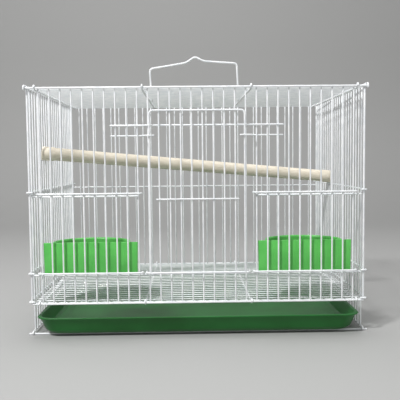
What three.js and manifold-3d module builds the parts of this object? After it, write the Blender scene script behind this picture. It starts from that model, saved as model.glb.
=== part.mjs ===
// A canary breeding cage of white coated wire: six welded wire walls that hook together, three
// lift-up doors on the front, two feeder cups, a pull-out tray, a perch and a carry handle.
// X runs along the front, Y to the back and Z up, all in millimetres.
import * as THREE from "three";
import { mergeVertices } from "three/addons/utils/BufferGeometryUtils.js";
import Module from "manifold-3d";

const wasm = await Module();
wasm.setup();

// ---------------------------------------------------------------- driving dimensions
const wallWidth = 372; // between the corner posts of the front wall
const wallDepth = 264; // from the front wall's bars to the back wall's
const wallHeight = 277.5; // from the floor to the middle of the top rails
const barPitch = 12; // upright bars of the four walls
const deckPitch = 11; // cross bars of the roof and of the floor grate

const barRadius = 0.9; // infill bars
const postRadius = 1.2; // corner posts
const railRadius = 1.1; // cross rails, door rails and clips
const topRailRadius = 1.3; // top rails of the front and back walls
const footRadius = 1.3; // the two rails that the cage stands on
const weldDepth = 0.3; // how far crossing wires sink into each other
const gap = 0.3; // between pieces that rest on each other
const slideGap = 0.6; // between a door and what it slides along

const lowRailHeight = 38.2; // rail under the front wall, over the tray's mouth
const sillHeight = 70; // rail that the doors stand on
const feederLintelHeight = 158;
const middleLintelHeight = 236;
const middleDoorHeight = 252; // top of the middle door's frame
const middleBraceHeight = 154.5; // cross wire halfway up the middle door
const guideHeight = 224.7; // hooks that hold the middle door's sides
const feederDoorLap = 3.2; // a feeder door's top rail over its lintel
const backRailHeight = 157.5;
const sideRailHeight = 163;

const doorMarginBays = 1; // bays of bars beside and between the doors
const guideOverhang = 4; // how far a door's hooks stand out past the bar that they ride on
const guideReach = 7.5; // tips of the two hooks that hold the middle door's sides, past its bars
const frameInset = 1.6; // sides of the middle door's frame inside the bars that it slides on
const lintelReachBays = 3.5; // the middle lintel past its doorway, at each side
const braceOverhang = 4; // free ends of the middle door's cross wire
const frameBend = 5;
const clipBend = 1.6;
const clipReach = 4; // from the corner post's centre to the tip of a clip
const footOverhang = 8; // free ends of the foot rails
const topRailOverhang = 4; // ends of the top rails that carry the side walls' top rails
const deckDrop = 2; // roof and grate wires run this far below the rails that they hook over
const hookBay = 0.7; // outer hooks of the roof and grate, in bays from the corner post
const hookAngle = 150; // degrees that a hook runs round its rail
const deckHookAngle = 190; // degrees that the roof's and grate's hooks run round a wall's rail
const hookStep = 50; // degrees between a hook's facets

const cupHeight = 33.5;
const cupDepth = 48;
const cupWall = 1.3;
const cupTaper = 2.2; // a cup's side draws in by this much down to its floor
const cupLip = 0.8;
const cupBevel = 1; // its lower edge
const cupSetback = 1.2; // cup's flat face behind the middle of the bars
const cradleHalfWidth = 22;
const cradleRise = 10;

const trayHeight = 20.7;
const trayBevel = 3.5; // its lower edge
const trayWall = 1.5;
const traySideFlare = 5; // tray's sides lean out by this much
const trayEndFlare = 5.5; // tray's front and back lean out by this much
const trayLip = 2;
const traySideGap = 2.4; // tray's lip to the corner posts
const trayProud = 8; // tray's front lip in front of the front wall's bars
const trayCorner = 16;

const perchRadius = 8.4;
const perchLeftHeight = 207.5;
const perchGrips = [6, 15]; // side bars that its left and right slit ends grip, from the front
const perchChamfer = 1;
const perchEnd = 1.2; // perch past the middle of the side walls' bars
const slitDepth = 8;

const handleRadius = 1.3;
const handleSpan = 113; // between the handle's two eyes
const handleLeftCorner = 38.5; // heights over the bar that the handle turns on
const handleRightCorner = 45;
const handleShoulder = 47;
const handlePeak = 54;
const handlePeakHalf = 11.5;
const handleLean = 2; // the left leg leans out and the right one in
const handleBend = 4;
const eyeAngle = 245; // degrees of the eyes at the handle's ends

// ---------------------------------------------------------------- places that follow
const halfWidth = wallWidth / 2;
const bays = Math.round(wallWidth / barPitch);
const bay = wallWidth / bays;
const barX = (index) => -halfWidth + index * bay;
const feederBays = Math.floor((bays - 4 * doorMarginBays) / 3);
const leftGuides = [doorMarginBays, doorMarginBays + feederBays];
const middleGuides = [leftGuides[1] + doorMarginBays, bays - leftGuides[1] - doorMarginBays];
const rightGuides = [bays - leftGuides[1], bays - leftGuides[0]];

const postInset = 2 * postRadius + gap + 0.1; // a side wall's end post behind the corner post
const sideBays = Math.round((wallDepth - 2 * postInset) / barPitch);
const sideBay = (wallDepth - 2 * postInset) / sideBays;
const sideBarY = (index) => postInset + index * sideBay;

const weldOffset = (a, b) => a + b - weldDepth; // between the middles of two welded wires
const restOffset = (a, b) => a + b + gap; // between the middles of two wires that only touch
const railFace = weldOffset(barRadius, railRadius);
const topRailFace = weldOffset(barRadius, topRailRadius);
const footCentre = footRadius * Math.cos(Math.PI / 6); // a flat side lies on the floor
const footFace = sideBarY(1) - restOffset(postRadius, footRadius);
const sideTopHeight = wallHeight + restOffset(topRailRadius, railRadius);
const deckBarRise = weldOffset(railRadius, barRadius) - deckDrop; // over the rails
const roofBarHeight = wallHeight + deckBarRise;
const doorSill = sillHeight + restOffset(railRadius, railRadius);
const feederDoorBarY = -(2 * barRadius + slideGap);
const feederDoorRailY = feederDoorBarY - railFace;
const middleDoorBarY = -(topRailFace + topRailRadius + slideGap + barRadius);
const middleDoorRailY = middleDoorBarY - railFace;
const clipFace = restOffset(postRadius, railRadius);
const topReach = halfWidth + topRailOverhang;
const sideRailX = halfWidth + clipFace;
const sideBarX = sideRailX - railFace;
const trayFloor = 2 * footCentre + gap;
const trayLipUnderside = trayFloor + trayHeight - trayWall;
const trayRestHeight = trayLipUnderside - gap - railRadius; // back wall's lowest rail
const trayBack = wallDepth - barRadius - gap; // tray's back lip

// ---------------------------------------------------------------- shaping tools
const v = (x, y, z) => new THREE.Vector3(x, y, z);
const Y = v(0, 1, 0);
const wireSides = 5;
const radians = THREE.MathUtils.degToRad;

// A closed geometry as a solid that can be joined and cut.
function solid(geometry) {
  geometry.deleteAttribute("normal");
  geometry.deleteAttribute("uv");
  const merged = mergeVertices(geometry, 1e-4);
  return new wasm.Manifold(
    new wasm.Mesh({
      numProp: 3,
      vertProperties: merged.attributes.position.array,
      triVerts: new Uint32Array(merged.index.array),
    }),
  );
}

// Welds solids pair by pair, so that no join works on more wires than it has to.
function weld(solids) {
  let pieces = solids.flat();
  while (pieces.length > 1) {
    const joined = [];
    for (let i = 0; i < pieces.length; i += 2)
      joined.push(i + 1 < pieces.length ? pieces[i].add(pieces[i + 1]) : pieces[i]);
    pieces = joined;
  }
  return pieces[0];
}

function geometryOf(made) {
  const mesh = made.getMesh();
  return new THREE.BufferGeometry()
    .setAttribute("position", new THREE.BufferAttribute(new Float32Array(mesh.vertProperties), 3))
    .setIndex(new THREE.BufferAttribute(new Uint32Array(mesh.triVerts), 1));
}

// A wire's section, with one corner on its first axis.
function wireSection(radius, sides) {
  const corners = Array.from({ length: sides }, (_, i) => {
    const angle = (2 * Math.PI * i) / sides;
    return new THREE.Vector2(radius * Math.cos(angle), radius * Math.sin(angle));
  });
  return new THREE.Shape(corners);
}

// A straight wire, with an edge turned to what it is welded to.
function rod(from, to, radius, edgeTowards, sides = wireSides) {
  const along = to.clone().sub(from);
  const geometry = new THREE.ExtrudeGeometry(wireSection(radius, sides), {
    depth: along.length(),
    bevelEnabled: false,
  });
  const axis = along.normalize();
  const across = axis.clone().cross(edgeTowards);
  geometry.applyMatrix4(new THREE.Matrix4().makeBasis(edgeTowards, across, axis));
  return solid(geometry.translate(from.x, from.y, from.z));
}

// The middle line of a bent wire, kept to its own knots, so that straight runs have no steps.
class WirePath extends THREE.Curve {
  constructor(knots) {
    super();
    this.knots = knots;
  }
  getPoint(t) {
    const place = t * (this.knots.length - 1);
    const index = Math.min(Math.floor(place), this.knots.length - 2);
    return this.knots[index].clone().lerp(this.knots[index + 1], place - index);
  }
  getSpacedPoints() {
    return this.knots.map((knot) => knot.clone());
  }
  getTangentAt(u) {
    const last = this.knots.length - 1;
    const index = Math.round(u * last);
    const tangent = v(0, 0, 0);
    if (index > 0) tangent.add(this.knots[index].clone().sub(this.knots[index - 1]).normalize());
    if (index < last)
      tangent.add(this.knots[index + 1].clone().sub(this.knots[index]).normalize());
    return tangent.normalize();
  }
}

function bentWire(knots, radius) {
  return solid(
    new THREE.ExtrudeGeometry(wireSection(radius, wireSides), {
      steps: knots.length - 1,
      extrudePath: new WirePath(knots),
    }),
  );
}

// Corner points with each inner corner rounded to a bend.
function rounded(corners, bend, steps = 2) {
  const knots = [corners[0]];
  for (let i = 1; i < corners.length - 1; i++) {
    const back = corners[i - 1].clone().sub(corners[i]).normalize();
    const ahead = corners[i + 1].clone().sub(corners[i]).normalize();
    const curve = new THREE.QuadraticBezierCurve3(
      corners[i].clone().addScaledVector(back, bend),
      corners[i],
      corners[i].clone().addScaledVector(ahead, bend),
    );
    knots.push(...curve.getPoints(steps));
  }
  return [...knots, corners[corners.length - 1]];
}

// Points of a hook round a centre, from the direction "first" towards "second".
function hook(centre, first, second, degrees) {
  const steps = Math.ceil(degrees / hookStep);
  return Array.from({ length: steps + 1 }, (_, i) => {
    const angle = radians((degrees * i) / steps);
    return centre
      .clone()
      .addScaledVector(first, Math.cos(angle))
      .addScaledVector(second, Math.sin(angle));
  });
}

// ---------------------------------------------------------------- walls of bars
// Upright bars of a wall that stands along X; each span is a bar's [index, from, to].
function uprights(spans, wallY, edgeTowards) {
  return spans.map(([index, from, to]) => {
    const radius = index === 0 || index === bays ? postRadius : barRadius;
    return rod(v(barX(index), wallY, from), v(barX(index), wallY, to), radius, edgeTowards);
  });
}

// A rail along X, in front of or behind the bars that it is welded to.
function crossRail(fromX, toX, barsY, offset, z, radius) {
  const y = barsY + offset;
  return rod(v(fromX, y, z), v(toX, y, z), radius, v(0, -Math.sign(offset), 0));
}

// A wire frame that a feeder cup stands in, welded to the back of the sill.
function cupCradle(guides) {
  const middle = (barX(guides[0]) + barX(guides[1])) / 2;
  const back = cupSetback + cupDepth + restOffset(railRadius, 0);
  const corner = (side, y, z) => v(middle + side * cradleHalfWidth, y, z);
  return bentWire(
    rounded(
      [
        corner(-1, railFace, sillHeight),
        corner(-1, back, sillHeight),
        corner(-1, back, sillHeight + cradleRise),
        corner(1, back, sillHeight + cradleRise),
        corner(1, back, sillHeight),
        corner(1, railFace, sillHeight),
      ],
      3,
    ),
    railRadius,
  );
}

// A hook that comes forward between two bars and holds the middle door's side in its groove.
function doorGuide(side) {
  const guideX = side * barX(middleGuides[1]);
  const back = weldOffset(barRadius, barRadius);
  const front = middleDoorRailY - railRadius - slideGap - barRadius;
  const turnX = guideX + (side * bay) / 2;
  return bentWire(
    rounded(
      [
        v(guideX + side * lintelReachBays * bay, back, guideHeight),
        v(turnX, back, guideHeight),
        v(turnX, front, guideHeight),
        v(guideX - side * guideReach, front, guideHeight),
      ],
      clipBend,
    ),
    barRadius,
  );
}

function frontWall() {
  const inside = (index, guides) => index > guides[0] && index < guides[1];
  const spans = [];
  for (let index = 0; index <= bays; index++) {
    const lintel = inside(index, middleGuides)
      ? middleLintelHeight
      : inside(index, leftGuides) || inside(index, rightGuides)
        ? feederLintelHeight
        : null;
    if (lintel === null) spans.push([index, lowRailHeight, wallHeight]);
    else spans.push([index, lowRailHeight, sillHeight], [index, lintel, wallHeight]);
  }
  const behindX = halfWidth - postRadius - 2 * gap; // rails behind the bars stop at the side post
  const reach = barX(middleGuides[1]) + lintelReachBays * bay;
  return weld([
    uprights(spans, 0, v(0, -1, 0)),
    crossRail(-topReach, topReach, 0, -topRailFace, wallHeight, topRailRadius),
    crossRail(-halfWidth, halfWidth, 0, -railFace, lowRailHeight, railRadius),
    crossRail(-behindX, behindX, 0, railFace, sillHeight, railRadius),
    crossRail(-behindX, barX(leftGuides[1]), 0, railFace, feederLintelHeight, railRadius),
    crossRail(barX(rightGuides[0]), behindX, 0, railFace, feederLintelHeight, railRadius),
    crossRail(-reach, reach, 0, -railFace, middleLintelHeight, railRadius),
    [-1, 1].map(doorGuide),
    [leftGuides, rightGuides].map(cupCradle),
  ]);
}

// The back wall's lowest rail is inside its bars, and the tray's back lip lies on it.
function backWall() {
  const foot = trayRestHeight;
  const spans = Array.from({ length: bays + 1 }, (_, index) => [index, foot, wallHeight]);
  const restX = halfWidth - postRadius - 2 * gap;
  return weld([
    uprights(spans, wallDepth, Y),
    crossRail(-topReach, topReach, wallDepth, topRailFace, wallHeight, topRailRadius),
    [lowRailHeight, backRailHeight].map((height) =>
      crossRail(-halfWidth, halfWidth, wallDepth, railFace, height, railRadius),
    ),
    crossRail(-restX, restX, wallDepth, -railFace, trayRestHeight, railRadius),
  ]);
}

// A side wall's rail, whose ends are bent in round the front and back walls' corners.
function clipRail(side, height) {
  const tip = halfWidth - clipReach;
  return bentWire(
    rounded(
      [
        v(side * tip, -clipFace, height),
        v(side * sideRailX, -clipFace, height),
        v(side * sideRailX, wallDepth + clipFace, height),
        v(side * tip, wallDepth + clipFace, height),
      ],
      clipBend,
    ),
    railRadius,
  );
}

// A wire along Y that rests on two rails and hooks down over their far sides.
function hookedWire(x, height, railHeight, frontRailY, backRailY, degrees = hookAngle) {
  const reach = height - railHeight;
  const up = v(0, 0, reach);
  const front = hook(v(x, frontRailY, railHeight), up, v(0, -reach, 0), degrees).reverse();
  const back = hook(v(x, backRailY, railHeight), up, v(0, reach, 0), degrees);
  return bentWire([...front, ...back], railRadius);
}

// The end bars stop at the lowest clip, and the thick ones next to them are the cage's legs.
function sideWall(side) {
  const outwards = v(side, 0, 0);
  const railX = side * sideRailX;
  const footRail = footCentre + restOffset(footRadius, railRadius);
  const lowClip = lowRailHeight + restOffset(railRadius, railRadius);
  const bars = Array.from({ length: sideBays + 1 }, (_, index) => {
    const fromEnd = Math.min(index, sideBays - index);
    const foot = v(side * sideBarX, sideBarY(index), fromEnd === 0 ? lowClip : footRail);
    const radius = fromEnd < 2 ? postRadius : barRadius;
    return rod(foot, foot.clone().setZ(sideTopHeight), radius, outwards);
  });
  return weld([
    bars,
    [lowClip, doorSill, sideRailHeight].map((height) => clipRail(side, height)),
    hookedWire(railX, sideTopHeight, wallHeight, -topRailFace, wallDepth + topRailFace),
    hookedWire(railX, footRail, footCentre, footFace, wallDepth - footFace, 90),
  ]);
}

// ---------------------------------------------------------------- roof, grate and feet
// A deck is the roof or the floor grate: cross bars on four wires, whose ends come up behind a
// wall's rail and hook over it.
const hookPlaces = [
  barX(hookBay),
  (barX(leftGuides[1]) + barX(middleGuides[0])) / 2,
  (barX(middleGuides[1]) + barX(rightGuides[0])) / 2,
  barX(bays - hookBay),
];

function deckWire(x, railHeight, railY, radius) {
  const reach = restOffset(radius, railRadius);
  const end = (y, outwards) => {
    const up = v(0, 0, reach);
    const over = hook(v(x, y, railHeight), v(0, -outwards * reach, 0), up, deckHookAngle);
    return [...over.reverse(), v(x, y - outwards * reach, railHeight - deckDrop)];
  };
  const front = end(-railY, -1);
  const back = end(wallDepth + railY, 1);
  const inwards = v(0, deckDrop, 0);
  return bentWire(
    [...front, front.at(-1).clone().add(inwards), back.at(-1).clone().sub(inwards), ...back.reverse()],
    railRadius,
  );
}

function deck(barPlaces, railHeight, railY, radius) {
  const reach = sideBarX - postRadius - gap;
  const height = railHeight + deckBarRise;
  return weld([
    barPlaces.map((y) => rod(v(-reach, y, height), v(reach, y, height), barRadius, v(0, 0, -1))),
    hookPlaces.map((x) => deckWire(x, railHeight, railY, radius)),
  ]);
}

const deckBays = Math.round(wallDepth / deckPitch);
const deckBarY = (index) => (index * wallDepth) / deckBays;
const roofBars = Array.from({ length: deckBays - 1 }, (_, index) => deckBarY(index + 1));
const grateBars = Array.from({ length: deckBays }, (_, index) => deckBarY(index + 0.5));

// A foot rail has six sides, so that a flat one lies on the floor.
function footRail(y) {
  const reach = halfWidth + footOverhang;
  return rod(v(-reach, y, footCentre), v(reach, y, footCentre), footRadius, Y, 6);
}

// ---------------------------------------------------------------- doors
// A door's rail, whose ends are bent back round the two bars that the door slides on.
function slidingRail(guides, y, z) {
  const end = (index, side) =>
    hook(v(barX(index), 0, z), v(0, y, 0), v(side * guideOverhang, 0, 0), hookAngle);
  return bentWire([...end(guides[0], -1).reverse(), ...end(guides[1], 1)], railRadius);
}

function doorBars(guides, y, from, to) {
  const bars = [];
  for (let index = guides[0] + 1; index < guides[1]; index++)
    bars.push(rod(v(barX(index), y, from), v(barX(index), y, to), barRadius, v(0, -1, 0)));
  return bars;
}

function feederDoor(guides) {
  const top = feederLintelHeight + feederDoorLap;
  return weld([
    doorBars(guides, feederDoorBarY, doorSill, top),
    [doorSill, top].map((height) => slidingRail(guides, feederDoorRailY, height)),
  ]);
}

function middleDoor() {
  const [left, right] = middleGuides.map(barX);
  const frame = rounded(
    [
      v(left + frameInset, middleDoorRailY, doorSill),
      v(left + frameInset, middleDoorRailY, middleDoorHeight),
      v(right - frameInset, middleDoorRailY, middleDoorHeight),
      v(right - frameInset, middleDoorRailY, doorSill),
    ],
    frameBend,
  );
  const braceX = barX(middleGuides[1] - 1) + braceOverhang;
  return weld([
    doorBars(middleGuides, middleDoorBarY, doorSill, middleDoorHeight),
    bentWire(frame, railRadius),
    slidingRail(middleGuides, middleDoorRailY, doorSill),
    crossRail(-braceX, braceX, middleDoorBarY, -railFace, middleBraceHeight, barRadius),
  ]);
}

// ---------------------------------------------------------------- moulded pieces
// A closed shell from rings of equal length: from its outer floor, over its lip, to its inner
// floor, each end closed by a flat fan.
function ringShell(rings) {
  const count = rings[0].length;
  const points = rings.flat();
  const triangles = [];
  for (let ring = 0; ring < rings.length - 1; ring++)
    for (let i = 0; i < count; i++) {
      const a = ring * count + i;
      const b = ring * count + ((i + 1) % count);
      triangles.push(a, b, b + count, a, b + count, a + count);
    }
  for (let i = 1; i < count - 1; i++) {
    const inner = (rings.length - 1) * count;
    triangles.push(0, i + 1, i, inner, inner + i, inner + i + 1);
  }
  return new THREE.BufferGeometry().setFromPoints(points).setIndex(triangles);
}

// A feeder cup: flat towards the bars, half round towards the birds.
function cup(guides) {
  const middle = (barX(guides[0]) + barX(guides[1])) / 2;
  const halfSpan = (barX(guides[1]) - barX(guides[0])) / 2 - barRadius - slideGap;
  const floor = sillHeight + railRadius + gap;
  const backSteps = 16;
  const ring = (inset, flatIn, z) =>
    Array.from({ length: backSteps + 1 }, (_, i) => {
      const angle = (Math.PI * i) / backSteps;
      return v(
        middle + (halfSpan - inset) * Math.cos(angle),
        cupSetback + flatIn + (cupDepth - inset - flatIn) * Math.sin(angle),
        z,
      );
    });
  const top = floor + cupHeight;
  const lipDrop = 2 * cupWall;
  const foot = cupLip + cupTaper;
  return solid(
    ringShell([
      ring(foot + cupBevel, cupBevel / 2, floor),
      ring(foot, 0, floor + cupBevel),
      ring(cupLip, 0, top - lipDrop),
      ring(0, 0, top - lipDrop + cupLip),
      ring(0, 0, top),
      ring(cupLip + cupWall, cupWall, top),
      ring(foot + cupWall, cupWall, floor + cupWall),
    ]),
  );
}

// The tray: a shallow flared pan with round corners and a turned-out lip. The front of its
// floor lies on the front foot rail.
function tray() {
  const halfX = halfWidth - postRadius - traySideGap;
  const midY = (trayBack - trayProud) / 2;
  const halfY = (trayBack + trayProud) / 2;
  const top = trayFloor + trayHeight;
  const cornerSteps = 4;
  const ring = (insetX, insetY, z) => {
    const points = [];
    for (let corner = 0; corner < 4; corner++)
      for (let i = 0; i <= cornerSteps; i++) {
        const angle = (Math.PI / 2) * (corner + i / cornerSteps);
        const signX = corner === 0 || corner === 3 ? 1 : -1;
        const signY = corner < 2 ? 1 : -1;
        const x = signX * (halfX - insetX - trayCorner) + trayCorner * Math.cos(angle);
        const y = signY * (halfY - insetY - trayCorner) + trayCorner * Math.sin(angle);
        points.push(v(x, midY + y, z));
      }
    return points;
  };
  const footX = trayLip + traySideFlare;
  const footY = trayLip + trayEndFlare;
  const innerLip = trayLip + trayWall;
  const innerBevel = trayWall + trayBevel;
  return solid(
    ringShell([
      ring(footX + trayBevel, footY + trayBevel, trayFloor),
      ring(footX, footY, trayFloor + trayBevel),
      ring(trayLip, trayLip, trayLipUnderside),
      ring(0, 0, trayLipUnderside),
      ring(0, 0, top),
      ring(innerLip, innerLip, top),
      ring(footX + trayWall, footY + trayWall, trayFloor + trayWall + trayBevel),
      ring(footX + innerBevel, footY + innerBevel, trayFloor + trayWall),
    ]),
  );
}

// ---------------------------------------------------------------- perch and handle
// A round wooden rod that slants across the cage; each slit end grips a bar of a side wall.
function perch() {
  const rest = sideRailHeight + railRadius + gap + perchRadius;
  const reach = sideBarX + perchEnd;
  const grips = [
    v(-sideBarX, sideBarY(perchGrips[0]), perchLeftHeight),
    v(sideBarX, sideBarY(perchGrips[1]), rest),
  ];
  const at = (x) => grips[0].clone().lerp(grips[1], (x + sideBarX) / (2 * sideBarX));
  const from = at(-reach);
  const to = at(reach);
  const length = from.distanceTo(to);
  const profile = [
    [0, 0],
    [perchRadius - perchChamfer, 0],
    [perchRadius, perchChamfer],
    [perchRadius, length - perchChamfer],
    [perchRadius - perchChamfer, length],
    [0, length],
  ].map(([r, h]) => new THREE.Vector2(r, h));
  const turned = new THREE.LatheGeometry(profile, 20);
  turned.applyQuaternion(
    new THREE.Quaternion().setFromUnitVectors(Y, to.clone().sub(from).normalize()),
  );
  let body = solid(turned.translate(from.x, from.y, from.z));
  for (const grip of grips) {
    const slit = new THREE.BoxGeometry(2 * slitDepth, 2 * (barRadius + gap), 4 * perchRadius);
    const endX = grip.x + Math.sign(grip.x) * perchEnd;
    body = body.subtract(solid(slit.translate(endX, grip.y, grip.z)));
  }
  return body;
}

// The carry handle: one bent wire whose end eyes turn on the roof's middle bar.
const handleY = deckBarY(Math.round(deckBays / 2));
function carryHandle() {
  const half = handleSpan / 2;
  const eye = restOffset(barRadius, handleRadius);
  const at = (x, height) => v(x, handleY - eye, roofBarHeight + height);
  const ring = (side) =>
    hook(v(side * half, handleY, roofBarHeight), v(0, -eye, 0), v(0, 0, -eye), eyeAngle);
  const grip = rounded(
    [
      at(-half, 0),
      at(-half - handleLean, handleLeftCorner),
      at(-handlePeakHalf, handleShoulder - 1),
      at(0, handlePeak),
      at(handlePeakHalf, handleShoulder + 1),
      at(half - handleLean, handleRightCorner),
      at(half, 0),
    ],
    handleBend,
  );
  const knots = [...ring(-1).reverse(), ...grip.slice(1, -1), ...ring(1)];
  return bentWire(knots, handleRadius);
}

// ---------------------------------------------------------------- assembly
const finishes = {
  wire: { color: 0xf1f2f1, roughness: 0.4, metalness: 0 },
  cup: { color: 0x45b34b, roughness: 0.4, metalness: 0 },
  tray: { color: 0x1f8a3c, roughness: 0.35, metalness: 0 },
  wood: { color: 0xe6d9b8, roughness: 0.75, metalness: 0 },
};

const pieces = [
  ["front_wall", "wire", frontWall()],
  ["back_wall", "wire", backWall()],
  ["left_side_wall", "wire", sideWall(-1)],
  ["right_side_wall", "wire", sideWall(1)],
  ["roof", "wire", deck(roofBars, wallHeight, topRailFace, topRailRadius)],
  ["floor_grate", "wire", deck(grateBars, lowRailHeight, railFace, railRadius)],
  ["front_foot_rail", "wire", footRail(footFace)],
  ["back_foot_rail", "wire", footRail(wallDepth - footFace)],
  ["left_feeder_door", "wire", feederDoor(leftGuides)],
  ["right_feeder_door", "wire", feederDoor(rightGuides)],
  ["middle_door", "wire", middleDoor()],
  ["left_feeder_cup", "cup", cup(leftGuides)],
  ["right_feeder_cup", "cup", cup(rightGuides)],
  ["pull_out_tray", "tray", tray()],
  ["perch", "wood", perch()],
  ["carry_handle", "wire", carryHandle()],
];

const cage = new THREE.Group();
for (const [name, finish, made] of pieces) {
  const mesh = new THREE.Mesh(
    geometryOf(made),
    new THREE.MeshStandardMaterial(finishes[finish]),
  );
  mesh.name = name;
  cage.add(mesh);
}

// The origin is under the middle of the cage, on the floor.
const extent = new THREE.Box3().setFromObject(cage);
const middle = extent.getCenter(v(0, 0, 0));
cage.position.set(-middle.x, -middle.y, -extent.min.z);

export default cage;
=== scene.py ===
import math

import bmesh
import bpy
from mathutils import Matrix, Vector


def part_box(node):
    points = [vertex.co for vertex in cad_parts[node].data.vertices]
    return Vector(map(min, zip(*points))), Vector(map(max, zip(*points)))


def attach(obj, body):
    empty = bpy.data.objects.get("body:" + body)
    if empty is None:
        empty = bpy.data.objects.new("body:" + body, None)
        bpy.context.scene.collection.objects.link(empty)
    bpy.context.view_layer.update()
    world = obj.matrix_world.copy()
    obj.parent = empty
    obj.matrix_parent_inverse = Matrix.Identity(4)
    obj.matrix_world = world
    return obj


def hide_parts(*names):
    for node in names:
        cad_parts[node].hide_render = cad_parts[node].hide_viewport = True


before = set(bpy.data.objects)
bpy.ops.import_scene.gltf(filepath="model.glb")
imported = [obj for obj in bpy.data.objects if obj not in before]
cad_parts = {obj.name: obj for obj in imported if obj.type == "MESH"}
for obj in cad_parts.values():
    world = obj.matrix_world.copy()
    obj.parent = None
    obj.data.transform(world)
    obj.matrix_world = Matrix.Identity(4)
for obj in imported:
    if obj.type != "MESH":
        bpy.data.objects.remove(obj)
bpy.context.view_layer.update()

# ---------------------------------------------------------------- the coating on the wire
# Every wall, door and handle is steel wire under a thick glossy white coat. The coat has a faint
# orange peel, and it is a little greyer here and there where it lies thin.


def principled(name, color, roughness, coat=0.0):
    material = bpy.data.materials.new(name)
    material.use_nodes = True
    shader = material.node_tree.nodes["Principled BSDF"]
    shader.inputs["Base Color"].default_value = (*color, 1.0)
    shader.inputs["Roughness"].default_value = roughness
    shader.inputs["Coat Weight"].default_value = coat
    return material, shader


def noise(material, scale, detail=3.0, stretch=(1.0, 1.0, 1.0)):
    """A noise pattern fixed to the piece; scale counts its spots in a metre."""
    nodes = material.node_tree.nodes
    place = nodes.new("ShaderNodeTexCoord")
    mapping = nodes.new("ShaderNodeMapping")
    mapping.inputs["Scale"].default_value = stretch
    pattern = nodes.new("ShaderNodeTexNoise")
    pattern.inputs["Scale"].default_value = scale
    pattern.inputs["Detail"].default_value = detail
    material.node_tree.links.new(place.outputs["Object"], mapping.inputs["Vector"])
    material.node_tree.links.new(mapping.outputs["Vector"], pattern.inputs["Vector"])
    return pattern.outputs["Fac"]


def vary(material, value, socket, dark, light, low=0.35, high=0.65):
    """Runs a shader's colour or grey socket from dark to light with a pattern."""
    ramp = material.node_tree.nodes.new("ShaderNodeValToRGB")
    ramp.color_ramp.elements[0].position = low
    ramp.color_ramp.elements[0].color = (*dark, 1.0)
    ramp.color_ramp.elements[1].position = high
    ramp.color_ramp.elements[1].color = (*light, 1.0)
    material.node_tree.links.new(value, ramp.inputs["Fac"])
    material.node_tree.links.new(ramp.outputs["Color"], socket)


def emboss(material, shader, value, depth, strength=0.5):
    bump = material.node_tree.nodes.new("ShaderNodeBump")
    bump.inputs["Distance"].default_value = depth
    bump.inputs["Strength"].default_value = strength
    material.node_tree.links.new(value, bump.inputs["Height"])
    material.node_tree.links.new(bump.outputs["Normal"], shader.inputs["Normal"])


coating, coating_shader = principled("coated wire", (0.86, 0.875, 0.89), 0.3, coat=0.35)
vary(
    coating,
    noise(coating, 90.0),
    coating_shader.inputs["Base Color"],
    dark=(0.78, 0.805, 0.83),
    light=(0.9, 0.91, 0.92),
)
emboss(coating, coating_shader, noise(coating, 1400.0), depth=0.0001, strength=0.35)

# ---------------------------------------------------------------- foot rails
# Two straight wires lie on the table under the front and the back wall, and stand out a little
# at both ends. The side walls hook over them.
foot_radius = 0.0013


def tube(mesh, points, radius, sides=12):
    """A round wire through the points, whose cut ends are domed by the coating."""
    lengths = [0.0]
    for before, after in zip(points, points[1:]):
        lengths.append(lengths[-1] + (after - before).length)
    total = lengths[-1]

    def place(s):
        s = min(max(s, 0.0), total)
        for index in range(1, len(points)):
            if s <= lengths[index] or index == len(points) - 1:
                span = lengths[index] - lengths[index - 1]
                return points[index - 1].lerp(points[index], (s - lengths[index - 1]) / span)

    dome = [radius * share for share in (0.12, 0.45, 1.0)]
    past_dome = radius * 1.05
    stations = dome + [s for s in lengths if past_dome < s < total - past_dome]
    stations += [total - s for s in reversed(dome)]
    step = radius * 0.05
    tangents = [(place(s + step) - place(s - step)).normalized() for s in stations]
    normal = tangents[0].orthogonal().normalized()
    rings = [[mesh.verts.new(points[0])]]
    for s, tangent in zip(stations, tangents):
        normal = (normal - tangent * normal.dot(tangent)).normalized()
        other = tangent.cross(normal)
        inset = 1.0 - min(1.0, min(s, total - s) / radius)
        reach = radius * math.sqrt(max(0.0, 1.0 - inset * inset))
        ring = []
        for corner in range(sides):
            angle = 2.0 * math.pi * corner / sides
            offset = normal * math.cos(angle) + other * math.sin(angle)
            ring.append(mesh.verts.new(place(s) + offset * reach))
        rings.append(ring)
    rings.append([mesh.verts.new(points[-1])])
    for near, far in zip(rings, rings[1:]):
        for corner in range(sides):
            following = (corner + 1) % sides
            if len(near) == 1:
                mesh.faces.new((near[0], far[following], far[corner]))
            elif len(far) == 1:
                mesh.faces.new((near[corner], near[following], far[0]))
            else:
                mesh.faces.new((near[corner], near[following], far[following], far[corner]))


def smooth_piece(name, mesh, material, body, slot, *nodes):
    """Turns a mesh into a smooth piece that rides on a body and stands for the nodes."""
    for face in mesh.faces:
        face.smooth = True
    data = bpy.data.meshes.new(name)
    bmesh.ops.recalc_face_normals(mesh, faces=mesh.faces)
    mesh.to_mesh(data)
    mesh.free()
    piece = bpy.data.objects.new(name, data)
    bpy.context.scene.collection.objects.link(piece)
    data.materials.append(material)
    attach(piece, body)
    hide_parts(*nodes)
    return piece


def middle_of(node):
    low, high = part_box(node)
    return (low + high) / 2.0


front_foot = middle_of("front_foot_rail")
back_foot = middle_of("back_foot_rail")
for node in ("front_foot_rail", "back_foot_rail"):
    low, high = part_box(node)
    middle = middle_of(node)
    rail = bmesh.new()
    tube(rail, [Vector((x, middle.y, middle.z)) for x in (low.x, high.x)], middle.z)
    smooth_piece(node + "_wire", rail, coating, "cage", "wire", node)

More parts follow.
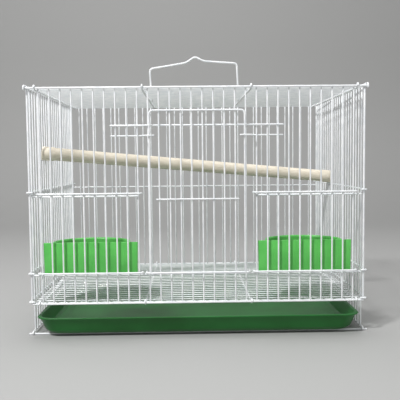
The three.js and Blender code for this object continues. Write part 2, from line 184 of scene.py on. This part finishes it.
# ---------------------------------------------------------------- side walls
# Each side wall is upright bars welded to rails on its outside, and two of the bars are its legs.
# The lower rails' ends are bent in round the corners of the front and back walls, and the top
# rail hooks down over theirs.
bar_radius = 0.0009
post_radius = 0.0012
rail_radius = 0.0011
top_rail_radius = 0.0013
weld_depth = 0.0003
touch_gap = 0.0003
bar_pitch = 0.012
half_width = 0.186
depth = 0.264
wall_height = 0.2775
low_rail_height = 0.0382
sill_height = 0.07
side_rail_height = 0.163
clip_reach = 0.004
clip_bend = 0.0016
front_y = (front_foot.y + back_foot.y - depth) / 2.0


def welded(a, b):
    return a + b - weld_depth


def resting(a, b):
    return a + b + touch_gap


def at(x, y, z):
    """A point of the cage, with y counted from the front wall's bars."""
    return Vector((x, front_y + y, z))


def rounded(corners, bend, steps=6):
    points = [corners[0]]
    for before, corner, after in zip(corners, corners[1:], corners[2:]):
        start = corner + (before - corner).normalized() * bend
        end = corner + (after - corner).normalized() * bend
        for step in range(steps + 1):
            t = step / steps
            points.append(start.lerp(corner, t).lerp(corner.lerp(end, t), t))
    return points + [corners[-1]]


def bead(mesh, a, b, radius=0.00105):
    """The coating that gathers where two wires are welded."""
    place = Matrix.Translation((a + b) / 2.0)
    bmesh.ops.create_icosphere(mesh, subdivisions=1, radius=radius, matrix=place)


def hooked(x, height, rail_height, near_y, far_y, degrees=150.0, steps=10):
    """A wire along Y that hooks down over the rail at each of its ends."""
    reach = height - rail_height
    points = []
    for rail_y, out in ((near_y, -1.0), (far_y, 1.0)):
        arc = []
        for step in range(steps + 1):
            angle = math.radians(degrees * step / steps)
            y = rail_y + out * reach * math.sin(angle)
            arc.append(at(x, y, rail_height + reach * math.cos(angle)))
        points += arc[::-1] if out < 0 else arc
    return points


rail_face = welded(bar_radius, rail_radius)
top_rail_face = welded(bar_radius, top_rail_radius)
clip_face = resting(post_radius, rail_radius)
post_slack = 0.0001
post_inset = 2.0 * post_radius + touch_gap + post_slack
side_length = depth - 2.0 * post_inset
side_bays = round(side_length / bar_pitch)
side_bar_y = [post_inset + index * side_length / side_bays for index in range(side_bays + 1)]
thick_bars = 2
side_rail_x = half_width + clip_face
side_bar_x = side_rail_x - rail_face
door_sill = sill_height + resting(rail_radius, rail_radius)
foot_face = front_foot.y - front_y
side_foot_height = front_foot.z + resting(foot_radius, rail_radius)
side_top_height = wall_height + resting(top_rail_radius, rail_radius)
low_clip_height = low_rail_height + resting(rail_radius, rail_radius)

for side, node in ((-1.0, "left_side_wall"), (1.0, "right_side_wall")):
    wall = bmesh.new()
    rail_x = side * side_rail_x
    tip_x = side * (half_width - clip_reach)
    clips = [low_clip_height, door_sill, side_rail_height]
    for height in clips:
        corners = [
            at(tip_x, -clip_face, height),
            at(rail_x, -clip_face, height),
            at(rail_x, depth + clip_face, height),
            at(tip_x, depth + clip_face, height),
        ]
        tube(wall, rounded(corners, clip_bend), rail_radius)
    top = hooked(rail_x, side_top_height, wall_height, -top_rail_face, depth + top_rail_face)
    tube(wall, top, rail_radius)
    foot = hooked(
        rail_x, side_foot_height, front_foot.z, foot_face, depth - foot_face, degrees=90.0
    )
    tube(wall, foot, rail_radius)
    for index, y in enumerate(side_bar_y):
        from_end = min(index, side_bays - index)
        radius = post_radius if from_end < thick_bars else bar_radius
        lowest = low_clip_height if from_end == 0 else side_foot_height
        upright_x = side * side_bar_x
        tube(wall, [at(upright_x, y, lowest), at(upright_x, y, side_top_height)], radius)
        for height in (side_foot_height, *clips, side_top_height):
            if height >= lowest:
                bead(wall, at(upright_x, y, height), at(rail_x, y, height))
    smooth_piece(node + "_wires", wall, coating, "cage", "wire", node)

# ---------------------------------------------------------------- back wall
# The back wall has the same bars as the front one but no doors. Its lowest rail is inside, and
# the back lip of the tray lies on it.
top_rail_overhang = 0.004
top_rail_half = half_width + top_rail_overhang
bays = round(2.0 * half_width / bar_pitch)
bar_x = [-half_width + index * bar_pitch for index in range(bays + 1)]
inner_bars = bar_x[1:-1]
same_bar = 0.001
back_rail_height = 0.1575
solid_wire_sides = 5
rail_flat = rail_radius * math.cos(math.pi / solid_wire_sides)
tray_rest_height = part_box("back_wall")[0].z + rail_flat


def crossing_rail(mesh, half_length, bars_y, offset, height, radius, bars):
    """A rail along X and its welds to the bars that it crosses."""
    y = bars_y + offset
    tube(mesh, [at(-half_length, y, height), at(half_length, y, height)], radius)
    for x in bars:
        bead(mesh, at(x, bars_y, height), at(x, y, height))


def upright(mesh, x, y, foot, head):
    radius = post_radius if abs(x) > half_width - same_bar else bar_radius
    tube(mesh, [at(x, y, foot), at(x, y, head)], radius)


wall = bmesh.new()
for x in bar_x:
    upright(wall, x, depth, tray_rest_height, wall_height)
crossing_rail(wall, top_rail_half, depth, top_rail_face, wall_height, top_rail_radius, bar_x)
for height in (low_rail_height, back_rail_height):
    crossing_rail(wall, half_width, depth, rail_face, height, rail_radius, bar_x)
inner_rail_half = half_width - post_radius - 2.0 * touch_gap
crossing_rail(wall, inner_rail_half, depth, -rail_face, tray_rest_height, rail_radius, inner_bars)
smooth_piece("back_wall_wires", wall, coating, "cage", "wire", "back_wall")

# ---------------------------------------------------------------- floor grate and roof
# Both are close cross bars on four wires that run front to back. Those wires' ends come up
# behind the low rails and the top rails of the front and back walls, and hook over them.
deck_pitch = 0.011
deck_drop = 0.002
deck_half = side_bar_x - post_radius - touch_gap
deck_bar_rise = rail_face - deck_drop
deck_bend = 0.0012
door_margin = 1
feeder_bays = 9
feeder_guides = (bar_x[door_margin], bar_x[door_margin + feeder_bays])
middle_guide = -bar_x[2 * door_margin + feeder_bays]
hook_bay = 0.7
hook_places = [bar_x[0] + hook_bay * bar_pitch, (feeder_guides[1] - middle_guide) / 2.0]
hook_places += [-x for x in reversed(hook_places)]


def deck_wire(x, rail_height, rail_y, radius, degrees=190.0, steps=12):
    """A wire along Y whose ends come up inside a rail and go over it."""
    reach = resting(radius, rail_radius)
    ends = []
    for y, out in ((-rail_y, -1.0), (depth + rail_y, 1.0)):
        arc = []
        for step in range(steps + 1):
            angle = math.radians(degrees * (1.0 - step / steps))
            over = rail_height + reach * math.sin(angle)
            arc.append(at(x, y - out * reach * math.cos(angle), over))
        corners = [
            arc[-1],
            at(x, y - out * reach, rail_height - deck_drop),
            at(x, y - out * (reach + deck_drop), rail_height - deck_drop),
        ]
        ends.append(arc[:-1] + rounded(corners, deck_bend))
    return ends[0] + ends[1][::-1]


def deck(mesh, rail_height, rail_y, radius, bars_y):
    wires_height = rail_height - deck_drop
    bars_height = rail_height + deck_bar_rise
    for y in bars_y:
        tube(mesh, [at(-deck_half, y, bars_height), at(deck_half, y, bars_height)], bar_radius)
    for x in hook_places:
        tube(mesh, deck_wire(x, rail_height, rail_y, radius), rail_radius)
        for y in bars_y:
            bead(mesh, at(x, y, bars_height), at(x, y, wires_height))


deck_bays = round(depth / deck_pitch)
grate = bmesh.new()
grate_bars = [(index + 0.5) * depth / deck_bays for index in range(deck_bays)]
deck(grate, low_rail_height, rail_face, rail_radius, grate_bars)
smooth_piece("floor_grate_wires", grate, coating, "cage", "wire", "floor_grate")

roof = bmesh.new()
roof_bars = [index * depth / deck_bays for index in range(1, deck_bays)]
deck(roof, wall_height, top_rail_face, top_rail_radius, roof_bars)
smooth_piece("roof_wires", roof, coating, "cage", "wire", "roof")

# ---------------------------------------------------------------- front wall
# The front wall has three doorways. Its sill and outer lintels are behind the bars, and the
# middle lintel is in front. Two loose-ended hooks come forward to guide the middle door, and a
# bent wire behind each outer sill carries a feeder cup.
feeder_lintel_height = 0.158
middle_lintel_height = 0.236
guide_height = 0.2247
hook_overhang = 0.004
guide_reach = 0.0075
slide_gap = 0.0006
middle_door_bar_y = -(top_rail_face + top_rail_radius + slide_gap + bar_radius)
middle_door_rail_y = middle_door_bar_y - rail_face
lintel_bays = 3.5
lintel_reach = middle_guide + bar_pitch * lintel_bays
cup_setback = 0.0012
cup_depth = 0.048
cradle_half = 0.022
cradle_rise = 0.01
cradle_bend = 0.003

wall = bmesh.new()
for x in bar_x:
    if abs(x) < middle_guide - same_bar:
        lintel = middle_lintel_height
    elif abs(feeder_guides[1]) + same_bar < abs(x) < abs(feeder_guides[0]) - same_bar:
        lintel = feeder_lintel_height
    else:
        upright(wall, x, 0.0, low_rail_height, wall_height)
        continue
    upright(wall, x, 0.0, low_rail_height, sill_height)
    upright(wall, x, 0.0, lintel, wall_height)
crossing_rail(wall, top_rail_half, 0.0, -top_rail_face, wall_height, top_rail_radius, bar_x)
crossing_rail(wall, half_width, 0.0, -rail_face, low_rail_height, rail_radius, bar_x)
crossing_rail(wall, inner_rail_half, 0.0, rail_face, sill_height, rail_radius, inner_bars)
over_door = [x for x in bar_x if abs(x) < lintel_reach]
crossing_rail(wall, lintel_reach, 0.0, -rail_face, middle_lintel_height, rail_radius, over_door)
for side in (-1.0, 1.0):
    inner = abs(feeder_guides[1])
    ends = [at(side * x, rail_face, feeder_lintel_height) for x in (inner, inner_rail_half)]
    tube(wall, ends, rail_radius)
    for x in inner_bars:
        if x * side > inner - same_bar:
            bead(wall, at(x, 0.0, feeder_lintel_height), at(x, rail_face, feeder_lintel_height))
    behind = welded(bar_radius, bar_radius)
    before = middle_door_rail_y - rail_radius - slide_gap - bar_radius
    turn = side * (middle_guide + bar_pitch / 2.0)
    guide = [
        at(side * lintel_reach, behind, guide_height),
        at(turn, behind, guide_height),
        at(turn, before, guide_height),
        at(side * (middle_guide - guide_reach), before, guide_height),
    ]
    tube(wall, rounded(guide, clip_bend), bar_radius)
    cup_middle = side * abs(sum(feeder_guides)) / 2.0
    cradle_back = cup_setback + cup_depth + resting(rail_radius, 0.0)
    cradle = [
        at(cup_middle - cradle_half, rail_face, sill_height),
        at(cup_middle - cradle_half, cradle_back, sill_height),
        at(cup_middle - cradle_half, cradle_back, sill_height + cradle_rise),
        at(cup_middle + cradle_half, cradle_back, sill_height + cradle_rise),
        at(cup_middle + cradle_half, cradle_back, sill_height),
        at(cup_middle + cradle_half, rail_face, sill_height),
    ]
    tube(wall, rounded(cradle, cradle_bend), rail_radius)
smooth_piece("front_wall_wires", wall, coating, "cage", "wire", "front_wall")

# ---------------------------------------------------------------- doors
# Each door is a few bars on bent rails whose ends go round two bars of the front wall, so that
# it slides up. The middle door also has a frame bent from one wire, with round upper corners.
feeder_door_bar_y = -(2.0 * bar_radius + slide_gap)
feeder_door_rail_y = feeder_door_bar_y - rail_face
feeder_door_lap = 0.0032
feeder_door_top = feeder_lintel_height + feeder_door_lap
middle_door_height = 0.252
brace_height = 0.1545
frame_bend = 0.005
frame_inset = 0.0016
frame_half = middle_guide - frame_inset


def sliding_rail(left, right, y, height, degrees=150.0, steps=12):
    points = []
    for x, out in ((left, -1.0), (right, 1.0)):
        arc = []
        for step in range(steps + 1):
            angle = math.radians(degrees * step / steps)
            reach = out * hook_overhang * math.sin(angle)
            arc.append(at(x + reach, y * math.cos(angle), height))
        points += arc[::-1] if out < 0 else arc
    return points


def door_bars(mesh, inside, bars_y, rail_y, foot, head, rails):
    for x in inside:
        tube(mesh, [at(x, bars_y, foot), at(x, bars_y, head)], bar_radius)
        for height in rails:
            bead(mesh, at(x, bars_y, height), at(x, rail_y, height))


for side, body, node in (
    (-1.0, "left_door", "left_feeder_door"),
    (1.0, "right_door", "right_feeder_door"),
):
    left, right = sorted(side * abs(x) for x in feeder_guides)
    door = bmesh.new()
    inside = [x for x in bar_x if left + same_bar < x < right - same_bar]
    rails = (door_sill, feeder_door_top)
    door_bars(
        door, inside, feeder_door_bar_y, feeder_door_rail_y, door_sill, feeder_door_top, rails
    )
    for height in rails:
        tube(door, sliding_rail(left, right, feeder_door_rail_y, height), rail_radius)
    smooth_piece(node + "_wires", door, coating, body, "wire", node)

door = bmesh.new()
inside = [x for x in bar_x if abs(x) < middle_guide - same_bar]
rails = (door_sill, brace_height, middle_door_height)
door_bars(
    door, inside, middle_door_bar_y, middle_door_rail_y, door_sill, middle_door_height, rails
)
frame_wire = [
    at(-frame_half, middle_door_rail_y, door_sill),
    at(-frame_half, middle_door_rail_y, middle_door_height),
    at(frame_half, middle_door_rail_y, middle_door_height),
    at(frame_half, middle_door_rail_y, door_sill),
]
tube(door, rounded(frame_wire, frame_bend, steps=8), rail_radius)
tube(door, sliding_rail(-middle_guide, middle_guide, middle_door_rail_y, door_sill), rail_radius)
brace_half = max(inside) + hook_overhang
brace = [at(side * brace_half, middle_door_rail_y, brace_height) for side in (-1.0, 1.0)]
tube(door, brace, bar_radius)
smooth_piece("middle_door_wires", door, coating, "door", "wire", "middle_door")

# ---------------------------------------------------------------- feeder cups
# The cups are thin green mouldings. Each has a flat plate towards the bars, which stands out past
# the bowl at both sides, and a bowl that is round towards the birds. They stand on the cradles
# behind the outer doors and lift out.
cup_wall = 0.0013
cup_taper = 0.0022
cup_lip = 0.0008
plate_taper = 0.0006
plate_ear = 0.0095
plate_edge = 0.0004
bowl_straight = 0.012
rim_rise = 0.0018
cup_fillet = 0.0005
cup_crease = math.radians(35.0)
floor_reach = 0.02

cup_green, cup_shader = principled("bright green moulding", (0.1, 0.5, 0.095), 0.36, coat=0.15)
cup_shader.inputs["Subsurface Weight"].default_value = 0.12
cup_shader.inputs["Subsurface Radius"].default_value = (0.002, 0.006, 0.002)
vary(
    cup_green,
    noise(cup_green, 45.0),
    cup_shader.inputs["Base Color"],
    dark=(0.085, 0.46, 0.08),
    light=(0.12, 0.55, 0.11),
)
emboss(cup_green, cup_shader, noise(cup_green, 700.0), depth=0.0002, strength=0.15)


def skin(mesh, rings):
    """Faces between closed rings of equal length, with a face across each end."""
    loops = [[mesh.verts.new(point) for point in ring] for ring in rings]
    count = len(loops[0])
    for near, far in zip(loops, loops[1:]):
        for index in range(count):
            following = (index + 1) % count
            mesh.faces.new((near[index], near[following], far[following], far[index]))
    mesh.faces.new(loops[0])
    mesh.faces.new(loops[-1])


def fold(lines, fillet, steps=4):
    """Rounds the corners of a section given as (inset, height) pairs."""
    points = [Vector((inset, 0.0, height)) for inset, height in lines]
    return [(point.x, point.z) for point in rounded(points, fillet, steps)]


def bowl_ring(middle_x, half_span, front, inset, height, steps=36):
    """A U outline: straight sides off the front plate and a round back."""
    reach_x = half_span - inset
    reach_y = cup_depth - bowl_straight - inset
    ring = [at(middle_x + reach_x, front, height)]
    for step in range(steps + 1):
        angle = math.pi * step / steps
        y = cup_setback + bowl_straight + reach_y * math.sin(angle)
        ring.append(at(middle_x + reach_x * math.cos(angle), y, height))
    return ring + [at(middle_x - reach_x, front, height)]


def front_plate(mesh, middle_x, half_foot, half_top, foot, top):
    corners = [(-half_foot, foot), (half_foot, foot), (half_top, top), (-half_top, top)]
    near, far = (
        [mesh.verts.new(at(middle_x + x, y, height)) for x, height in corners]
        for y in (cup_setback, cup_setback + cup_wall)
    )
    sides = [(near[i], near[i - 3], far[i - 3], far[i]) for i in range(4)]
    faces = [mesh.faces.new(loop) for loop in (near, far[::-1], *sides)]
    edges = list({edge for face in faces for edge in face.edges})
    bmesh.ops.bevel(mesh, geom=edges, offset=plate_edge, segments=3, profile=0.5, affect="EDGES")


for node, body in (("left_feeder_cup", "left_cup"), ("right_feeder_cup", "right_cup")):
    low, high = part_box(node)
    middle_x = (low.x + high.x) / 2.0
    half_plate = (high.x - low.x) / 2.0
    half_bowl = half_plate - plate_ear
    foot_inset = cup_lip + cup_taper
    rim = high.z + rim_rise
    lip_drop = 2.0 * cup_wall
    outside = fold(
        [
            (foot_inset + floor_reach, low.z),
            (foot_inset, low.z),
            (cup_lip, rim - lip_drop),
            (0.0, rim - lip_drop + cup_lip),
            (0.0, rim),
        ],
        cup_fillet,
    )
    inside = fold(
        [
            (cup_lip, rim),
            (cup_lip + cup_wall, rim - cup_wall),
            (foot_inset + cup_wall, low.z + cup_wall),
            (foot_inset + cup_wall + floor_reach, low.z + cup_wall),
        ],
        cup_fillet,
    )
    plate_middle = cup_setback + cup_wall / 2.0
    plate_back = cup_setback + cup_wall
    rings = [bowl_ring(middle_x, half_bowl, plate_middle, *place) for place in outside]
    rings += [bowl_ring(middle_x, half_bowl, plate_back, *place) for place in inside]
    cup = bmesh.new()
    skin(cup, rings)
    front_plate(cup, middle_x, half_plate - plate_taper, half_plate, low.z, rim)
    cup_piece = smooth_piece(node + "_moulding", cup, cup_green, body, "cup", node)
    cup_piece.data.set_sharp_from_angle(angle=cup_crease)

# ---------------------------------------------------------------- pull-out tray
# The tray is a shallow deep-green moulding with flared sides, round corners and a turned-out
# lip. Its lower edge is bevelled and swept up a little. It slides out under the front wall.
tray_wall = 0.0015
tray_lip = 0.002
tray_side_flare = 0.005
tray_end_flare = 0.0055
tray_corner = 0.016
tray_bevel = 0.0035
tray_sweep = 0.012
tray_sweep_rise = 0.0012
tray_fillet = 0.0007

# The base colour is the moulding's own deep green, set somewhat darker as painted shade, so the
# front wall and the bevelled lower edge come out dark as if in shade.
tray_green_and_painted_shade, tray_shader = principled("deep green moulding", (0.012, 0.13, 0.02), 0.36)
tray_shader.inputs["Specular IOR Level"].default_value = 0.38
vary(
    tray_green_and_painted_shade,
    noise(tray_green_and_painted_shade, 18.0),
    tray_shader.inputs["Base Color"],
    dark=(0.008, 0.105, 0.014),
    light=(0.015, 0.15, 0.026),
)
emboss(tray_green_and_painted_shade, tray_shader, noise(tray_green_and_painted_shade, 260.0), depth=0.0004, strength=0.12)

tray_low, tray_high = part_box("pull_out_tray")
tray_middle = (tray_low + tray_high) / 2.0
tray_half = (tray_high - tray_low) / 2.0


def tray_ring(inset_x, inset_y, height, steps=10):
    ring = []
    for quarter in range(4):
        sign_x = 1.0 if quarter in (0, 3) else -1.0
        sign_y = 1.0 if quarter < 2 else -1.0
        for step in range(steps + 1):
            angle = math.pi / 2.0 * (quarter + step / steps)
            x = sign_x * (tray_half.x - inset_x - tray_corner) + tray_corner * math.cos(angle)
            y = sign_y * (tray_half.y - inset_y - tray_corner) + tray_corner * math.sin(angle)
            ring.append(Vector((tray_middle.x + x, tray_middle.y + y, height)))
    return ring


foot_inset = tray_lip + tray_side_flare
inner_inset = foot_inset + tray_wall
inner_floor = tray_low.z + tray_wall
section = fold(
    [
        (foot_inset + floor_reach, tray_low.z),
        (foot_inset + tray_sweep, tray_low.z),
        (foot_inset + tray_bevel, tray_low.z + tray_sweep_rise),
        (foot_inset, tray_low.z + tray_bevel + tray_sweep_rise),
        (tray_lip, tray_high.z - tray_wall),
        (0.0, tray_high.z - tray_wall),
        (0.0, tray_high.z),
        (tray_lip + tray_wall, tray_high.z),
        (inner_inset, inner_floor + tray_bevel + tray_sweep_rise),
        (inner_inset + tray_bevel, inner_floor + tray_sweep_rise),
        (inner_inset + tray_sweep, inner_floor),
        (foot_inset + floor_reach, inner_floor),
    ],
    tray_fillet,
)


def end_inset(inset):
    """The ends flare a little more than the sides."""
    past_lip = max(0.0, inset - tray_lip)
    flare = min(past_lip, tray_side_flare)
    return min(inset, tray_lip) + flare * tray_end_flare / tray_side_flare + past_lip - flare


tray = bmesh.new()
skin(tray, [tray_ring(inset, end_inset(inset), height) for inset, height in section])
smooth_piece("tray_moulding", tray, tray_green_and_painted_shade, "tray", "tray", "pull_out_tray")

# ---------------------------------------------------------------- perch
# The perch is a turned rod of pale wood that slants across the cage, a little thicker at both
# ends. A slit sawn in each end grips a bar of a side wall.
perch_radius = 0.0084
waist_radius = 0.0077
collar = 0.015
perch_left_height = 0.2075
perch_end = 0.0012
slit_depth = 0.008
left_grip_bar = 6
right_grip_bar = 15
chamfer = 0.001
chamfer_ease = 0.3 * chamfer
rod_sides = 40
rod_crease = math.radians(40.0)

wood, wood_shader = principled("pale wood", (0.8, 0.73, 0.6), 0.62)
grain_stretch = (0.06, 1.0, 1.0)
vary(
    wood,
    noise(wood, 520.0, detail=6.0, stretch=grain_stretch),
    wood_shader.inputs["Base Color"],
    dark=(0.72, 0.64, 0.51),
    light=(0.84, 0.78, 0.66),
    low=0.25,
    high=0.75,
)
emboss(wood, wood_shader, noise(wood, 900.0, stretch=grain_stretch), depth=0.0003, strength=0.4)

perch_right_height = side_rail_height + rail_radius + touch_gap + perch_radius
grips = [
    at(-side_bar_x, side_bar_y[left_grip_bar], perch_left_height),
    at(side_bar_x, side_bar_y[right_grip_bar], perch_right_height),
]
slope = (grips[1] - grips[0]) / (2.0 * side_bar_x)
perch_points = [grips[0] - slope * perch_end, grips[1] + slope * perch_end]
axis = (perch_points[1] - perch_points[0]).normalized()
length = (perch_points[1] - perch_points[0]).length
rod = bmesh.new()
turn = axis.to_track_quat("Z", "Y").to_matrix().to_4x4()
profile = [
    (0.0, perch_radius - chamfer),
    (chamfer_ease, perch_radius - chamfer_ease),
    (chamfer, perch_radius),
    (collar, perch_radius),
    (collar + chamfer, waist_radius),
    (length - collar - chamfer, waist_radius),
    (length - collar, perch_radius),
    (length - chamfer, perch_radius),
    (length - chamfer_ease, perch_radius - chamfer_ease),
    (length, perch_radius - chamfer),
]
rings = []
for along, reach in profile:
    ring = []
    for corner in range(rod_sides):
        angle = 2.0 * math.pi * corner / rod_sides
        spot = Vector((reach * math.cos(angle), reach * math.sin(angle), along))
        ring.append(perch_points[0] + (turn @ spot))
    rings.append(ring)
skin(rod, rings)
perch = smooth_piece("perch_rod", rod, wood, "cage", "wood", "perch")
for grip, point in zip(grips, perch_points):
    cutter_mesh = bmesh.new()
    size = (2.0 * slit_depth, 2.0 * (bar_radius + touch_gap), 4.0 * perch_radius)
    scale = Matrix.Diagonal((*size, 1.0))
    place = Matrix.Translation(Vector((point.x, grip.y, grip.z)))
    bmesh.ops.create_cube(cutter_mesh, size=1.0, matrix=place @ scale)
    cutter_data = bpy.data.meshes.new("slit")
    cutter_mesh.to_mesh(cutter_data)
    cutter_mesh.free()
    cutter = bpy.data.objects.new("slit", cutter_data)
    bpy.context.scene.collection.objects.link(cutter)
    cut = perch.modifiers.new("slit", "BOOLEAN")
    cut.object = cutter
    cut.operation = "DIFFERENCE"
    cut.solver = "EXACT"
    bpy.context.view_layer.update()
    shaped = bpy.data.meshes.new_from_object(
        perch.evaluated_get(bpy.context.evaluated_depsgraph_get())
    )
    perch.modifiers.clear()
    perch.data = shaped
    bpy.data.objects.remove(cutter)
perch.data.set_sharp_from_angle(angle=rod_crease)

# ---------------------------------------------------------------- carry handle
# The handle is one wire bent over its knee by hand, so that it is a little crooked. An eye at
# each end turns on the middle bar of the roof.
handle_radius = 0.0013
handle_half = 0.0565
handle_lean = 0.002
left_corner = 0.0385
right_corner = 0.045
left_shoulder = 0.046
right_shoulder = 0.048
peak = 0.054
peak_half = 0.0115
handle_bend = 0.004
eye_degrees = 245.0

roof_bar_height = wall_height + deck_bar_rise
handle_y = round(deck_bays / 2) * depth / deck_bays
eye = resting(bar_radius, handle_radius)


def eye_points(side, steps=20):
    points = []
    for step in range(steps + 1):
        angle = math.radians(eye_degrees * step / steps)
        points.append(
            at(
                side * handle_half,
                handle_y - eye * math.cos(angle),
                roof_bar_height - eye * math.sin(angle),
            )
        )
    return points


def grip_point(x, height):
    return at(x, handle_y - eye, roof_bar_height + height)


grip_wire = [
    grip_point(-handle_half, 0.0),
    grip_point(-handle_half - handle_lean, left_corner),
    grip_point(-peak_half, left_shoulder),
    grip_point(0.0, peak),
    grip_point(peak_half, right_shoulder),
    grip_point(handle_half - handle_lean, right_corner),
    grip_point(handle_half, 0.0),
]
handle = bmesh.new()
grip_line = rounded(grip_wire, handle_bend)[1:-1]
tube(handle, eye_points(-1.0)[::-1] + grip_line + eye_points(1.0), handle_radius)
smooth_piece("carry_handle_wire", handle, coating, "handle", "wire", "carry_handle")

# ---------------------------------------------------------------- room, light and camera
# The cage stands on a pale floor that runs up into a pale backdrop, under a small lamp from the
# front left and two soft ones. The camera looks at the front from a little above.
backdrop_color = (0.38, 0.38, 0.375)
room_half = 3.0
backdrop_y = 1.6
backdrop_top = 2.6
backdrop_bend = 0.6

floor_material, _ = principled("pale floor", backdrop_color, 0.7)
floor_mesh = bmesh.new()
floor_corners = [
    Vector((0.0, -room_half, 0.0)),
    Vector((0.0, backdrop_y, 0.0)),
    Vector((0.0, backdrop_y, backdrop_top)),
]
floor_line = rounded(floor_corners, backdrop_bend, steps=12)
columns = []
for side in (-1.0, 1.0):
    across = Vector((side * room_half, 0.0, 0.0))
    columns.append([floor_mesh.verts.new(point + across) for point in floor_line])
for index in range(len(columns[0]) - 1):
    face = floor_mesh.faces.new(
        (columns[0][index], columns[1][index], columns[1][index + 1], columns[0][index + 1])
    )
    face.smooth = True
floor_data = bpy.data.meshes.new("floor")
floor_mesh.to_mesh(floor_data)
floor_mesh.free()
floor = bpy.data.objects.new("floor", floor_data)
bpy.context.scene.collection.objects.link(floor)
floor_data.materials.append(floor_material)


def lamp(name, place, aim, size, power):
    data = bpy.data.lights.new(name, "AREA")
    data.shape = "DISK"
    data.size = size
    data.energy = power
    light = bpy.data.objects.new(name, data)
    light.location = place
    light.rotation_euler = (Vector(aim) - Vector(place)).to_track_quat("-Z", "Y").to_euler()
    bpy.context.scene.collection.objects.link(light)


cage_middle = (0.0, 0.0, 0.15)
lamp("key", (-0.9, -1.25, 1.8), cage_middle, 0.3, 46.0)
lamp("fill", (1.4, -1.2, 0.9), cage_middle, 1.2, 4.0)
lamp("top", (0.0, 0.2, 1.9), cage_middle, 1.2, 16.0)

world_strength = 0.3
world = bpy.data.worlds.new("studio")
world.use_nodes = True
background = world.node_tree.nodes["Background"]
background.inputs["Color"].default_value = (1.0, 1.0, 1.0, 1.0)
background.inputs["Strength"].default_value = world_strength
bpy.context.scene.world = world
bpy.context.scene.view_settings.view_transform = "Standard"

image_side = 400.0
focal_pixels = 633.9
principal_drop = 3.5
camera_yaw = -1.05
camera_pitch = 90.0 - 3.97
camera_roll = -0.57
camera_spot = at(-0.0103, -0.7045, 0.198)
camera_data = bpy.data.cameras.new("camera")
camera_data.angle = 2.0 * math.atan(image_side / 2.0 / focal_pixels)
camera_data.shift_y = principal_drop / image_side
camera = bpy.data.objects.new("camera", camera_data)
bpy.context.scene.collection.objects.link(camera)
turns = [
    Matrix.Rotation(math.radians(angle), 4, axis_name)
    for angle, axis_name in ((camera_yaw, "Z"), (camera_pitch, "X"), (camera_roll, "Z"))
]
camera.matrix_world = Matrix.Translation(camera_spot) @ turns[0] @ turns[1] @ turns[2]
bpy.context.scene.camera = camera
